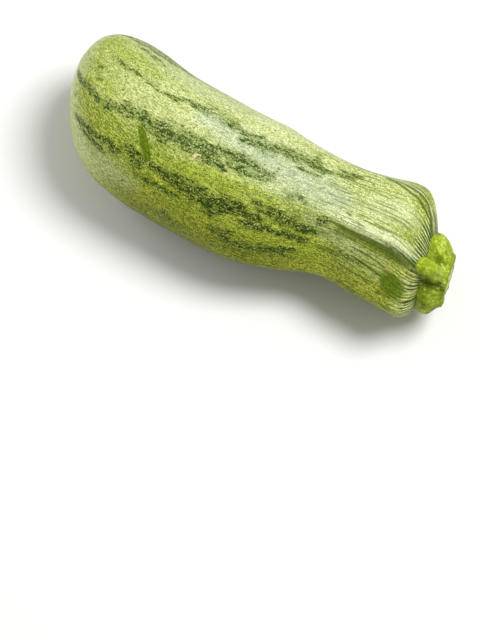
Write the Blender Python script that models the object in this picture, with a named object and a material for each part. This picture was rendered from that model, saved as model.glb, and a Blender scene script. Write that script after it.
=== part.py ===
"""A zucchini of the pale, mottled kind, as picked: the fruit and the stub of its stem.

The fruit lies on its belly on the surface z = 0, with its stem towards +X.
Both pieces follow the same curves, measured along the fruit from its blossom end.
Run with: blender --background --python part.py
"""
import math

import bmesh
import bpy
from mathutils import Vector

# Fruit: how thick it is along its length (metres, from the blossom end)
FRUIT_LENGTH = 0.154
BELLY_RADIUS = 0.0273
BELLY_END = 0.083
NECK_RADIUS = 0.0215
NECK_AT = 0.118
SHOULDER_RADIUS = 0.0233
SHOULDER_AT = 0.1375

# Fruit: its rounded ends, each a superellipse that is 2 for a plain ellipse
BLOSSOM_CAP_LENGTH = 0.033
BLOSSOM_CAP_POWER = 2.13
STEM_CAP_LENGTH = 0.012
STEM_CAP_POWER = 2.6

# Fruit: how its centre line bends sideways, level with the surface that it lies on
BLOSSOM_LEAN = 0.0136
BLOSSOM_LEAN_LENGTH = 0.051
STEM_LEAN = 0.0126
STEM_LEAN_START = 0.0715
NECK_SWAY = 0.0049
NECK_SWAY_AT = 0.1165
NECK_SWAY_WIDTH = 0.024
SEAT_SHIFT = -0.0049
SEAT_SHIFT_LENGTH = 0.0156

# Fruit: how it lies, with a flat spot under the belly and the neck clear of the surface
FLAT_DEPTH = 0.0005
NECK_CLEARANCE = 0.0024
NECK_CLEARANCE_AT = 0.114
NECK_CLEARANCE_WIDTH = 0.020
SHOULDER_CLEARANCE = 0.0004

# Fruit: five ridges with flattened faces between them, which grow towards the stem.
# The ridges crowd together round one angle, and gather towards it on the shoulder.
RIDGE_COUNT = 5
RIDGE_ANGLE = math.radians(113.5)
RIDGE_CROWDING = math.radians(45.0)
RIDGE_CROWDING_ANGLE = math.radians(82.0)
RIDGE_ROUNDING = 0.05
RIDGE_GATHERING = math.radians(12.0)
RIDGE_GATHERING_START = 0.120
RIDGE_GATHERING_END = 0.152
FACE_AT_BLOSSOM = 0.10
FACE_AT_STEM = 0.62
FACE_GROWTH_START = 0.060
FACE_GROWTH_END = 0.128

# Fruit: a swelling on the far side of the shoulder, beyond its upper ridge
SWELLING_HEIGHT = 0.0019
SWELLING_AT = 0.139
SWELLING_LENGTH = 0.013
SWELLING_ANGLE = math.radians(26.0)
SWELLING_WIDTH = math.radians(11.0)

# Fruit: fine grooves that run out from under the stem and fade along the shoulder
GROOVE_COUNT = 40
GROOVE_DEPTH = 0.0006
GROOVE_FADE_START = 0.122
GROOVE_FULL_AT = 0.148

# Fruit: the corky scar that the blossom left, a low ring with a dimple in it
SCAR_RING_RADIUS = 0.0048
SCAR_RING_WIDTH = 0.0014
SCAR_RING_HEIGHT = 0.0004
SCAR_DIMPLE_RADIUS = 0.0026
SCAR_DIMPLE_DEPTH = 0.0012

# Stem: a short stub with blunt lobes that spread over the shoulder, one of them much
# further than the others, and a furrow beside it
STEM_LENGTH = 0.0078
STEM_FOOT_RADIUS = 0.0138
STEM_FOOT_THICKNESS = 0.0007
LOBE_THICKNESS = 0.0014
STEM_TOP_RADIUS = 0.0092
STEM_TILT = 0.0015
FURROW_BULGE = 0.9
LOBE_BULGE = 1.3
LOBE_AT_MIDDLE = 0.0012
LOBE_AT_TOP = 0.0006
FURROW_DEPTH = 0.0008
FURROW_ANGLE = math.radians(130.0)
FURROW_WIDTH = math.radians(8.0)
FURROW_AT = 0.40
FURROW_LENGTH = 0.28
RIM_FLARE = 0.0006
RIM_FLARE_LENGTH = 0.16
CUT_EDGE_ROUNDING = 0.0011
CUT_DISH_DEPTH = 0.0007
SEAT_GAP = 0.00035

# Stem: each lobe's angle and width in degrees, how far its foot spreads and how full it is
UPPER_LOBE = (66.0, 9.5, 0.0030, 0.75)
LONG_LOBE = (110.0, 7.0, 0.0072, 1.0)
LOWER_LOBE = (162.0, 12.0, 0.0010, 0.9)
UNDER_LOBE = (235.0, 14.0, 0.0024, 0.9)
FAR_LOBE = (304.0, 14.0, 0.0030, 1.0)
HIGH_LOBE = (8.0, 12.0, 0.0010, 0.6)
LOBES = (UPPER_LOBE, LONG_LOBE, LOWER_LOBE, UNDER_LOBE, FAR_LOBE, HIGH_LOBE)

# Meshes: segments round each piece, and rings from one end to the other
FRUIT_SEGMENTS = 120
FRUIT_RINGS = 36
STEM_SEGMENTS = 90
STEM_FOOT_RINGS = 6
STEM_SIDE_RINGS = 10
STEM_EDGE_RINGS = 3
STEM_CUT_RINGS = 4

# Materials: linear colour, roughness
SKIN_COLOUR = (0.49, 0.60, 0.19, 1.0)
SKIN_ROUGHNESS = 0.38
STEM_COLOUR = (0.30, 0.45, 0.04, 1.0)
STEM_ROUGHNESS = 0.5


def ease(value, start, end):
    """Rise smoothly from 0 at start to 1 at end."""
    part = min(max((value - start) / (end - start), 0.0), 1.0)
    return part * part * (3.0 - 2.0 * part)


def bell(value, centre, width):
    """A smooth bump that is 1 at its centre."""
    return math.exp(-(((value - centre) / width) ** 2))


def lobe(angle, centre, width):
    """A smooth bump round a piece that is 1 at its centre."""
    return math.exp((math.cos(angle - centre) - 1.0) / width ** 2)


def body_radius(distance):
    """Radius of the belly, neck and shoulder, before the ends are rounded."""
    radius = BELLY_RADIUS + (NECK_RADIUS - BELLY_RADIUS) * ease(distance, BELLY_END, NECK_AT)
    return radius + (SHOULDER_RADIUS - NECK_RADIUS) * ease(distance, NECK_AT, SHOULDER_AT)


def cap_share(depth, length, power):
    """Share of the full radius at a depth behind the tip of a rounded end."""
    rest = max(1.0 - depth / length, 0.0)
    return (1.0 - min(rest, 1.0) ** power) ** (1.0 / power)


def ridge_phase(distance, angle):
    """Phase of the ridges round the fruit, a whole turn from each crest to the next."""
    gathering = RIDGE_GATHERING * ease(distance, RIDGE_GATHERING_START, RIDGE_GATHERING_END)
    angle += gathering * math.sin(angle - RIDGE_CROWDING_ANGLE)
    crowding = math.sin(angle - RIDGE_CROWDING_ANGLE)
    crowding -= math.sin(RIDGE_ANGLE - RIDGE_CROWDING_ANGLE)
    return RIDGE_COUNT * (angle - RIDGE_ANGLE) + RIDGE_CROWDING * crowding


def faced_share(phase):
    """Radius of a section with flat faces between its ridges, as a share of its mean."""
    half_face = math.pi / RIDGE_COUNT
    from_ridge = math.acos((1.0 - RIDGE_ROUNDING) * math.cos(phase)) / math.pi
    mean = math.log((1.0 + math.sin(half_face)) / math.cos(half_face)) / half_face
    return 1.0 / (mean * math.cos(half_face * (1.0 - from_ridge)))


def full_radius(distance, angle):
    """Radius with ridges, swelling and grooves, before the ends are rounded."""
    growth = ease(distance, FACE_GROWTH_START, FACE_GROWTH_END)
    flatness = FACE_AT_BLOSSOM + (FACE_AT_STEM - FACE_AT_BLOSSOM) * growth
    faced = faced_share(ridge_phase(distance, angle))
    radius = body_radius(distance) * (1.0 + flatness * (faced - 1.0))
    swelling = lobe(angle, SWELLING_ANGLE, SWELLING_WIDTH)
    radius += SWELLING_HEIGHT * swelling * bell(distance, SWELLING_AT, SWELLING_LENGTH)
    groove = 0.5 + 0.5 * math.cos(GROOVE_COUNT * (angle - RIDGE_ANGLE) + math.radians(120.0))
    return radius - GROOVE_DEPTH * groove * ease(distance, GROOVE_FADE_START, GROOVE_FULL_AT)


def section_radius(distance, angle):
    """Radius of the fruit at a distance along it and an angle round it."""
    blossom = cap_share(distance, BLOSSOM_CAP_LENGTH, BLOSSOM_CAP_POWER)
    stem = cap_share(FRUIT_LENGTH - distance, STEM_CAP_LENGTH, STEM_CAP_POWER)
    return full_radius(distance, angle) * blossom * stem


def centre_line(distance):
    """Centre of a section of the fruit."""
    blossom = max(1.0 - distance / BLOSSOM_LEAN_LENGTH, 0.0)
    stem = max((distance - STEM_LEAN_START) / (FRUIT_LENGTH - STEM_LEAN_START), 0.0)
    side = BLOSSOM_LEAN * blossom ** 2 + STEM_LEAN * stem ** 2
    side += NECK_SWAY * bell(distance, NECK_SWAY_AT, NECK_SWAY_WIDTH)
    side += SEAT_SHIFT * ease(distance, FRUIT_LENGTH - SEAT_SHIFT_LENGTH, FRUIT_LENGTH)
    lift = NECK_CLEARANCE * bell(distance, NECK_CLEARANCE_AT, NECK_CLEARANCE_WIDTH)
    lift += SHOULDER_CLEARANCE * ease(distance, BELLY_END, NECK_AT)
    return Vector((distance, side, body_radius(distance) + lift - FLAT_DEPTH))


def section_turn(distance):
    """Angle by which a section turns to stay square to the stem end of the centre line."""
    stem = max(distance - STEM_LEAN_START, 0.0) / (FRUIT_LENGTH - STEM_LEAN_START) ** 2
    offset = distance - NECK_SWAY_AT
    sway = NECK_SWAY * bell(distance, NECK_SWAY_AT, NECK_SWAY_WIDTH) * offset / NECK_SWAY_WIDTH ** 2
    return math.atan(2.0 * STEM_LEAN * stem - 2.0 * sway)


def section_axes(distance):
    """Forward and sideways directions of a section of the fruit."""
    turn = section_turn(distance)
    forward = Vector((math.cos(turn), math.sin(turn), 0.0))
    sideways = Vector((-math.sin(turn), math.cos(turn), 0.0))
    return forward, sideways


def fruit_point(distance, angle):
    """Point of the skin at a distance along the fruit and an angle round it."""
    forward, sideways = section_axes(distance)
    radius = section_radius(distance, angle)
    point = centre_line(distance)
    point += sideways * (radius * math.cos(angle))
    point.z += radius * math.sin(angle)
    if distance < BLOSSOM_CAP_LENGTH / 2.0:
        point.x += SCAR_DIMPLE_DEPTH * bell(radius, 0.0, SCAR_DIMPLE_RADIUS)
        point.x -= SCAR_RING_HEIGHT * bell(radius, SCAR_RING_RADIUS, SCAR_RING_WIDTH)
    point.z = max(point.z, 0.0)
    return point


def seat_depth(reach, angle):
    """How far behind the fruit's stem end the shoulder is as wide as the reach."""
    share = min(reach / full_radius(FRUIT_LENGTH, angle), 1.0)
    rest = (1.0 - share ** STEM_CAP_POWER) ** (1.0 / STEM_CAP_POWER)
    return STEM_CAP_LENGTH * (1.0 - rest)


def lobe_shares(angle):
    """Share of each of the stem's lobes at an angle, blunt on top and smooth at its edges."""
    shares = []
    for centre, width, spread, fullness in LOBES:
        bump = lobe(angle, math.radians(centre), math.radians(width))
        shares.append(1.0 - (1.0 - bump) ** 2)
    return shares


def stem_fullness(angle):
    """How full the stem is at an angle: near 1 on its lobes and 0 between them."""
    return sum(row[3] * share for row, share in zip(LOBES, lobe_shares(angle)))


def foot_reach(angle):
    """How far the stem's foot spreads from its axis."""
    spread = sum(row[2] * share for row, share in zip(LOBES, lobe_shares(angle)))
    return STEM_FOOT_RADIUS + spread


def foot_point(share, angle):
    """Point of the stem's underside, which follows the shoulder with a small gap."""
    forward, sideways = section_axes(FRUIT_LENGTH)
    depth = seat_depth(share * foot_reach(angle), angle)
    point = fruit_point(FRUIT_LENGTH - depth, angle)
    point += forward * SEAT_GAP
    point += sideways * (SEAT_GAP * share * math.cos(angle))
    point.z += SEAT_GAP * share * math.sin(angle)
    return point


def stem_point(height, radius, angle):
    """Point of the stem at a height over the fruit's end and a radius round its axis."""
    forward, sideways = section_axes(FRUIT_LENGTH)
    point = centre_line(FRUIT_LENGTH) + forward * height
    point += sideways * (radius * math.cos(angle) - STEM_TILT * height / STEM_LENGTH)
    point.z += radius * math.sin(angle)
    return point


def top_radius(angle):
    """Radius of the stem where its side ends and its cut edge starts to round."""
    return STEM_TOP_RADIUS + LOBE_AT_TOP * stem_fullness(angle) + RIM_FLARE


def side_point(share, angle):
    """Point of the stem's lobed side, from its foot at 0 to its rounded edge at 1."""
    fullness = stem_fullness(angle)
    low = STEM_FOOT_THICKNESS + LOBE_THICKNESS * fullness
    low -= seat_depth(foot_reach(angle), angle)
    height = low + (STEM_LENGTH - CUT_EDGE_ROUNDING - low) * share
    bulge = FURROW_BULGE + LOBE_BULGE * fullness
    radius = top_radius(angle) - RIM_FLARE
    radius += (foot_reach(angle) + SEAT_GAP - radius) * (1.0 - share ** bulge)
    radius += 4.0 * LOBE_AT_MIDDLE * share * (1.0 - share) * fullness
    furrow = lobe(angle, FURROW_ANGLE, FURROW_WIDTH)
    radius -= FURROW_DEPTH * furrow * bell(share, FURROW_AT, FURROW_LENGTH)
    radius += RIM_FLARE * bell(share, 1.0, RIM_FLARE_LENGTH)
    return stem_point(height, radius, angle)


def edge_point(share, angle):
    """Point of the rounded edge, from the side at 0 to the cut face at 1."""
    quarter = share * math.pi / 2.0
    height = STEM_LENGTH - CUT_EDGE_ROUNDING * (1.0 - math.sin(quarter))
    radius = top_radius(angle) - CUT_EDGE_ROUNDING * (1.0 - math.cos(quarter))
    return stem_point(height, radius, angle)


def cut_point(share, angle):
    """Point of the cut face, a shallow dish, from its edge at 0 to its centre at 1."""
    radius = (1.0 - share) * (top_radius(angle) - CUT_EDGE_ROUNDING)
    dish = CUT_DISH_DEPTH * (1.0 - (1.0 - share) ** 2)
    return stem_point(STEM_LENGTH - dish, radius, angle)


def add_piece(name, mesh, material, parent, collection):
    """Put a finished mesh in the scene as a named piece with its own material."""
    bmesh.ops.recalc_face_normals(mesh, faces=mesh.faces)
    data = bpy.data.meshes.new(name)
    mesh.to_mesh(data)
    mesh.free()
    for polygon in data.polygons:
        polygon.use_smooth = True
    data.materials.append(material)
    piece = bpy.data.objects.new(name, data)
    piece.parent = parent
    collection.objects.link(piece)
    return piece


def make_material(name, colour, roughness):
    """A plain finish for one piece."""
    material = bpy.data.materials.new(name)
    material.use_nodes = True
    shader = material.node_tree.nodes["Principled BSDF"]
    shader.inputs["Base Color"].default_value = colour
    shader.inputs["Roughness"].default_value = roughness
    shader.inputs["Metallic"].default_value = 0.0
    return material


def make_fruit(parent, collection):
    """The fruit: a sphere drawn out along the centre line."""
    mesh = bmesh.new()
    bmesh.ops.create_uvsphere(
        mesh, u_segments=FRUIT_SEGMENTS, v_segments=FRUIT_RINGS, radius=1.0)
    for vert in mesh.verts:
        distance = FRUIT_LENGTH * (1.0 + min(max(vert.co.z, -1.0), 1.0)) / 2.0
        angle = RIDGE_ANGLE + math.atan2(vert.co.y, vert.co.x)
        vert.co = fruit_point(distance, angle)
    material = make_material("fruit_skin", SKIN_COLOUR, SKIN_ROUGHNESS)
    return add_piece("fruit", mesh, material, parent, collection)


def make_stem(parent, collection):
    """The stem: a sphere whose rings become its underside, side, edge and cut face."""
    side_end = STEM_FOOT_RINGS + STEM_SIDE_RINGS
    edge_end = side_end + STEM_EDGE_RINGS
    rings = edge_end + STEM_CUT_RINGS
    mesh = bmesh.new()
    bmesh.ops.create_uvsphere(
        mesh, u_segments=STEM_SEGMENTS, v_segments=rings, radius=1.0)
    for vert in mesh.verts:
        polar = math.acos(min(max(-vert.co.z, -1.0), 1.0))
        ring = round(polar / math.pi * rings)
        angle = RIDGE_ANGLE + math.atan2(vert.co.y, vert.co.x)
        if ring <= STEM_FOOT_RINGS:
            vert.co = foot_point(ring / STEM_FOOT_RINGS, angle)
        elif ring <= side_end:
            share = (ring - STEM_FOOT_RINGS - 1) / (STEM_SIDE_RINGS - 1)
            vert.co = side_point(share, angle)
        elif ring <= edge_end:
            vert.co = edge_point((ring - side_end) / STEM_EDGE_RINGS, angle)
        else:
            vert.co = cut_point((ring - edge_end) / STEM_CUT_RINGS, angle)
    material = make_material("stem_rind", STEM_COLOUR, STEM_ROUGHNESS)
    return add_piece("stem", mesh, material, parent, collection)


def centre_on_origin(holder, pieces):
    """Move the holder so that the middle of the pieces' footprint is at the origin."""
    points = [vert.co for piece in pieces for vert in piece.data.vertices]
    for axis in (0, 1):
        low = min(point[axis] for point in points)
        high = max(point[axis] for point in points)
        holder.location[axis] = -(low + high) / 2.0


def main():
    for item in list(bpy.data.objects):
        bpy.data.objects.remove(item)
    collection = bpy.data.collections.new("zucchini")
    bpy.context.scene.collection.children.link(collection)
    holder = bpy.data.objects.new("zucchini_origin", None)
    collection.objects.link(holder)
    fruit = make_fruit(holder, collection)
    stem = make_stem(holder, collection)
    centre_on_origin(holder, (fruit, stem))


main()
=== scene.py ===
"""A pale, mottled zucchini with its stub of stem, lying on a white sweep in soft light."""

import math

import bpy
import numpy as np
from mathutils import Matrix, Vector


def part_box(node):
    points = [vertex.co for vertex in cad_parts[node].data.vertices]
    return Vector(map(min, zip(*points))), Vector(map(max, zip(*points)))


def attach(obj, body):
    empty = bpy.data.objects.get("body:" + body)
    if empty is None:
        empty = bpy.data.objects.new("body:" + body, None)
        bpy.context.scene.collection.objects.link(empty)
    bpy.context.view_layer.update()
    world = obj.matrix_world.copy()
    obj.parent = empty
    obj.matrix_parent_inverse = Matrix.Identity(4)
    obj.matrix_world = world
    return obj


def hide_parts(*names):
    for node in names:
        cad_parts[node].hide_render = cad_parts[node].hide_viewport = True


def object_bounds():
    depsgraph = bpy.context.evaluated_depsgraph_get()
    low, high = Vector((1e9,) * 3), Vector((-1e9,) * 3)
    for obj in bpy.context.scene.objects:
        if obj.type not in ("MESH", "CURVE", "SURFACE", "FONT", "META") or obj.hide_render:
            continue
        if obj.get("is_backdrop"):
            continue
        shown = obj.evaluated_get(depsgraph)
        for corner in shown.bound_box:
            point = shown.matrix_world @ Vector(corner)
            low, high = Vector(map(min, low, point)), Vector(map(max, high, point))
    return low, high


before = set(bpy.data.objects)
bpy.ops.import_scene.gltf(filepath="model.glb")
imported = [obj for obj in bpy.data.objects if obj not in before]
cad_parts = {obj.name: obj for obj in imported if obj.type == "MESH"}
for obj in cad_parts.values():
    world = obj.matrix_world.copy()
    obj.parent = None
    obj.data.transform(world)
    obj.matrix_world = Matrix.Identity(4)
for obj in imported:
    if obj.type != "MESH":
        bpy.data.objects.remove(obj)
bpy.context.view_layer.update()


# The fruit is one grown piece: a swollen belly, a narrower neck and a ridged shoulder, with
# a waxy skin and a corky scar where the blossom sat.
# Geometry Nodes draw a sphere out along its bent centre line and press the relief into it.

FRUIT_SIZES = {
    "Fruit length": 0.154,
    "Belly radius": 0.0273,
    "Belly end": 0.083,
    "Neck radius": 0.0215,
    "Neck at": 0.118,
    "Shoulder radius": 0.0233,
    "Shoulder at": 0.1375,
    "Blossom cap length": 0.033,
    "Blossom cap power": 2.13,
    "Stem cap length": 0.012,
    "Stem cap power": 2.6,
    "Blossom lean": 0.0136,
    "Blossom lean length": 0.051,
    "Stem lean": 0.0126,
    "Stem lean start": 0.0715,
    "Neck sway": 0.0049,
    "Neck sway at": 0.1165,
    "Neck sway width": 0.024,
    "Seat shift": -0.0049,
    "Seat shift length": 0.0156,
    "Flat depth": 0.0005,
    "Neck clearance": 0.0024,
    "Neck clearance at": 0.114,
    "Neck clearance width": 0.020,
    "Shoulder clearance": 0.0004,
    "Ridge angle": math.radians(113.5),
    "Ridge crowding": math.radians(45.0),
    "Ridge crowding angle": math.radians(82.0),
    "Ridge rounding": 0.04,
    "Ridge gathering": math.radians(12.0),
    "Ridge gathering start": 0.120,
    "Ridge gathering end": 0.152,
    "Face at blossom": 0.10,
    "Face at stem": 0.62,
    "Face growth start": 0.060,
    "Face growth end": 0.128,
    "Swelling height": 0.0019,
    "Swelling at": 0.139,
    "Swelling length": 0.013,
    "Swelling angle": math.radians(26.0),
    "Swelling width": math.radians(11.0),
    "Pleat depth": 0.0004,
    "Pleat fade start": 0.137,
    "Pleat full at": 0.151,
    "Pleat stagger": 0.016,
    "Lump height": 0.0007,
    "Scar ring radius": 0.0048,
    "Scar ring width": 0.0014,
    "Scar ring height": 0.0004,
    "Scar dimple radius": 0.0026,
    "Scar dimple depth": 0.0012,
}
RIDGES = 5
PLEATS = 92
SKIN_SEGMENTS = 600
SKIN_RINGS = 160


class Reading:
    """A value that changes over a piece, an output of a node, with ordinary arithmetic."""

    def __init__(self, recipe, socket):
        self.recipe = recipe
        self.socket = socket

    def __getitem__(self, name):
        return Reading(self.recipe, find(self.socket.node.outputs, name))

    def __add__(self, other):
        return self.recipe.sum("ADD", self, other)

    def __radd__(self, other):
        return self.recipe.sum("ADD", other, self)

    def __sub__(self, other):
        return self.recipe.sum("SUBTRACT", self, other)

    def __rsub__(self, other):
        return self.recipe.sum("SUBTRACT", other, self)

    def __mul__(self, other):
        return self.recipe.sum("MULTIPLY", self, other)

    def __rmul__(self, other):
        return self.recipe.sum("MULTIPLY", other, self)

    def __truediv__(self, other):
        return self.recipe.sum("DIVIDE", self, other)

    def __rtruediv__(self, other):
        return self.recipe.sum("DIVIDE", other, self)

    def __pow__(self, other):
        return self.recipe.sum("POWER", self, other)

    def __neg__(self):
        return self.recipe.sum("MULTIPLY", self, -1.0)


class Recipe:
    """A node tree as it is written down, for a piece's shape or for its material."""

    def __init__(self, tree):
        self.tree = tree

    def node(self, kind, settings=None, sockets=None):
        """Add a node: its settings first, then the values or links of its sockets."""
        node = self.tree.nodes.new(kind)
        for name, value in (settings or {}).items():
            setattr(node, name, value)
        for name, value in (sockets or {}).items():
            socket = find(node.inputs, name)
            if isinstance(value, Reading):
                self.tree.links.new(value.socket, socket)
            else:
                socket.default_value = value
        shown = [socket for socket in node.outputs if socket.enabled]
        return Reading(self, shown[0] if shown else None)

    def sum(self, operation, *values):
        """A step of arithmetic on readings and numbers."""
        node = self.tree.nodes.new("ShaderNodeMath")
        node.operation = operation
        for socket, value in zip(node.inputs, values):
            if isinstance(value, Reading):
                self.tree.links.new(value.socket, socket)
            else:
                socket.default_value = value
        return Reading(self, node.outputs[0])

    def take_sizes(self, sizes):
        """Give the tree an input for each named size, and read them."""
        for name, value in sizes.items():
            kind = "NodeSocketInt" if isinstance(value, int) else "NodeSocketFloat"
            item = self.tree.interface.new_socket(name=name, in_out="INPUT", socket_type=kind)
            item.default_value = value
        inputs = self.tree.nodes.new("NodeGroupInput")
        return {name: Reading(self, find(inputs.outputs, name)) for name in sizes}


def find(sockets, name):
    """The socket with that identifier or name, one that is in use if there are several."""
    same = [socket for socket in sockets if socket.identifier == name]
    same += [socket for socket in sockets if socket.name == name and socket.enabled]
    same += [socket for socket in sockets if socket.name == name]
    return same[0]


def ease(value, start, end):
    """Rise smoothly from 0 at start to 1 at end."""
    return value.recipe.node(
        "ShaderNodeMapRange", {"interpolation_type": "SMOOTHSTEP"},
        {"Value": value, "From Min": start, "From Max": end})


def cosine(value):
    return value.recipe.sum("COSINE", value)


def sine(value):
    return value.recipe.sum("SINE", value)


def at_least(value, floor):
    return value.recipe.sum("MAXIMUM", value, floor)


def at_most(value, ceiling):
    return value.recipe.sum("MINIMUM", value, ceiling)


def bell(value, centre, width):
    """A smooth bump that is 1 at its centre."""
    offset = (value - centre) / width
    return value.recipe.sum("EXPONENT", -(offset * offset))


def blend(share, low, high):
    """A number that goes from low to high as the share goes from 0 to 1."""
    return low + (high - low) * share


def vector(recipe, x, y, z):
    return recipe.node("ShaderNodeCombineXYZ", sockets={"X": x, "Y": y, "Z": z})


def noise(place, scale, detail=2.0, roughness=0.5):
    """Cloudy noise between 0 and 1 at a place, with so many clouds to a metre."""
    sockets = {"Vector": place, "Scale": scale, "Detail": detail, "Roughness": roughness}
    return place.recipe.node("ShaderNodeTexNoise", sockets=sockets)


def body_radius(size, along):
    belly, neck, shoulder = size["Belly radius"], size["Neck radius"], size["Shoulder radius"]
    radius = belly + (neck - belly) * ease(along, size["Belly end"], size["Neck at"])
    return radius + (shoulder - neck) * ease(along, size["Neck at"], size["Shoulder at"])


def cap_share(depth, length, power):
    """Share of the full radius at a depth behind the tip of a rounded end."""
    rest = at_most(at_least(1.0 - depth / length, 0.0), 1.0)
    return at_least(1.0 - rest ** power, 0.0) ** (1.0 / power)


def ridge_phase(size, along, angle):
    """Phase of the ridges round the fruit, a whole turn from each crest to the next."""
    gathering = ease(along, size["Ridge gathering start"], size["Ridge gathering end"])
    gathering = size["Ridge gathering"] * gathering
    angle = angle + gathering * sine(angle - size["Ridge crowding angle"])
    crowding = sine(angle - size["Ridge crowding angle"])
    crowding = crowding - sine(size["Ridge angle"] - size["Ridge crowding angle"])
    return RIDGES * (angle - size["Ridge angle"]) + size["Ridge crowding"] * crowding


def pleats(along, angle, cos_angle, sin_angle, fade_start, full_at, stagger):
    """Depth of the shoulder's fine pleats between 0 and 1: they are not quite evenly spaced,
    some run further from the stem than others, and below the near ridge they are short."""
    round_place = vector(angle.recipe, cos_angle, sin_angle, 0.0)
    phase = PLEATS * angle + 14.0 * noise(round_place, 4.0, 2.0)
    phase = phase + 5.0 * noise(round_place, 16.0, 1.0)
    reach = along + stagger * (noise(round_place, 22.0, 1.0) - 0.5)
    reach = reach - 0.25 * stagger * lobe(angle, math.radians(150.0), math.radians(22.0))
    return (0.5 - 0.5 * cosine(phase)) * ease(reach, fade_start, full_at)


def faced_share(size, phase):
    """Radius of a section with flat faces between its ridges, as a share of its mean."""
    half_face = math.pi / RIDGES
    mean = math.log((1.0 + math.sin(half_face)) / math.cos(half_face)) / half_face
    rounded = (1.0 - size["Ridge rounding"]) * cosine(phase)
    from_ridge = phase.recipe.sum("ARCCOSINE", rounded) / math.pi
    return 1.0 / (mean * cosine(half_face * (1.0 - from_ridge)))


def lobe(angle, centre, width):
    """A smooth bump round a piece that is 1 at its centre, all of them angles."""
    return angle.recipe.sum("EXPONENT", (cosine(angle - centre) - 1.0) / width ** 2.0)


def full_radius(size, along, angle):
    """Radius with its ridges, swelling and pleats, before the ends are rounded."""
    growth = ease(along, size["Face growth start"], size["Face growth end"])
    flatness = blend(growth, size["Face at blossom"], size["Face at stem"])
    faced = faced_share(size, ridge_phase(size, along, angle))
    radius = body_radius(size, along) * (1.0 + flatness * (faced - 1.0))
    swelling = lobe(angle, size["Swelling angle"], size["Swelling width"])
    swelling = swelling * bell(along, size["Swelling at"], size["Swelling length"])
    radius = radius + size["Swelling height"] * swelling
    pleat = pleats(along, angle, cosine(angle), sine(angle),
                   size["Pleat fade start"], size["Pleat full at"], size["Pleat stagger"])
    return radius - size["Pleat depth"] * pleat


def centre_line(size, along):
    """Sideways place and height of the centre of a section."""
    length = size["Fruit length"]
    blossom = at_least(1.0 - along / size["Blossom lean length"], 0.0)
    stem = at_least(along - size["Stem lean start"], 0.0) / (length - size["Stem lean start"])
    side = size["Blossom lean"] * blossom * blossom + size["Stem lean"] * stem * stem
    side = side + size["Neck sway"] * bell(along, size["Neck sway at"], size["Neck sway width"])
    side = side + size["Seat shift"] * ease(along, length - size["Seat shift length"], length)
    lift = bell(along, size["Neck clearance at"], size["Neck clearance width"])
    lift = size["Neck clearance"] * lift
    lift = lift + size["Shoulder clearance"] * ease(along, size["Belly end"], size["Neck at"])
    return side, body_radius(size, along) + lift - size["Flat depth"]


def section_axes(size, along):
    """Cosine and sine of a section's turn, which keeps it square to the stem end."""
    length, start = size["Fruit length"], size["Stem lean start"]
    slope = 2.0 * size["Stem lean"] * at_least(along - start, 0.0) / (length - start) ** 2.0
    width, offset = size["Neck sway width"], along - size["Neck sway at"]
    sway = size["Neck sway"] * bell(along, size["Neck sway at"], width) * offset / width ** 2.0
    turn = along.recipe.sum("ARCTANGENT", slope - 2.0 * sway)
    return cosine(turn), sine(turn)


def skin_point(size, along, angle):
    """Place of the skin at a distance along the fruit and an angle round it."""
    cos_turn, sin_turn = section_axes(size, along)
    side, height = centre_line(size, along)
    depth = size["Fruit length"] - along
    radius = full_radius(size, along, angle)
    radius = radius * cap_share(along, size["Blossom cap length"], size["Blossom cap power"])
    radius = radius * cap_share(depth, size["Stem cap length"], size["Stem cap power"])
    straight = vector(along.recipe, radius * cosine(angle), radius * sine(angle), along)
    lumps = noise(straight, 55.0, 1.5) - 0.5
    radius = radius + size["Lump height"] * lumps * at_most(radius / 0.01, 1.0)
    blossom = 1.0 - ease(along, 0.4 * size["Blossom cap length"], 0.6 * size["Blossom cap length"])
    dimple = size["Scar dimple depth"] * bell(radius, 0.0, size["Scar dimple radius"])
    ring = bell(radius, size["Scar ring radius"], size["Scar ring width"])
    push = blossom * (dimple - size["Scar ring height"] * ring)
    x = along - radius * cosine(angle) * sin_turn + push
    y = side + radius * cosine(angle) * cos_turn
    z = at_least(height + radius * sine(angle), 0.0)
    return x, y, z, radius


def start_shape(name, sizes):
    """A new tree for a piece's shape, with its sizes as inputs: a sphere of radius 1, how far
    up its axis each point is and the point's angle round that axis."""
    tree = bpy.data.node_groups.new(name, "GeometryNodeTree")
    tree.interface.new_socket(name="Shape", in_out="OUTPUT", socket_type="NodeSocketGeometry")
    recipe = Recipe(tree)
    size = recipe.take_sizes(sizes)
    ball = recipe.node("GeometryNodeMeshUVSphere", sockets={
        "Segments": size["Segments"], "Rings": size["Rings"], "Radius": 1.0})
    spot = recipe.node(
        "ShaderNodeSeparateXYZ", sockets={"Vector": recipe.node("GeometryNodeInputPosition")})
    up = at_most(at_least(spot["Z"], -1.0), 1.0)
    return recipe, size, ball, up, size["Ridge angle"] + recipe.sum("ARCTAN2", spot["Y"], spot["X"])


def keep(geometry, name, data_type, value):
    """Keep a value on the points of a shape under a name that its material reads."""
    return geometry.recipe.node(
        "GeometryNodeStoreNamedAttribute", {"data_type": data_type, "domain": "POINT"},
        {"Geometry": geometry, "Name": name, "Value": value})


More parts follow.
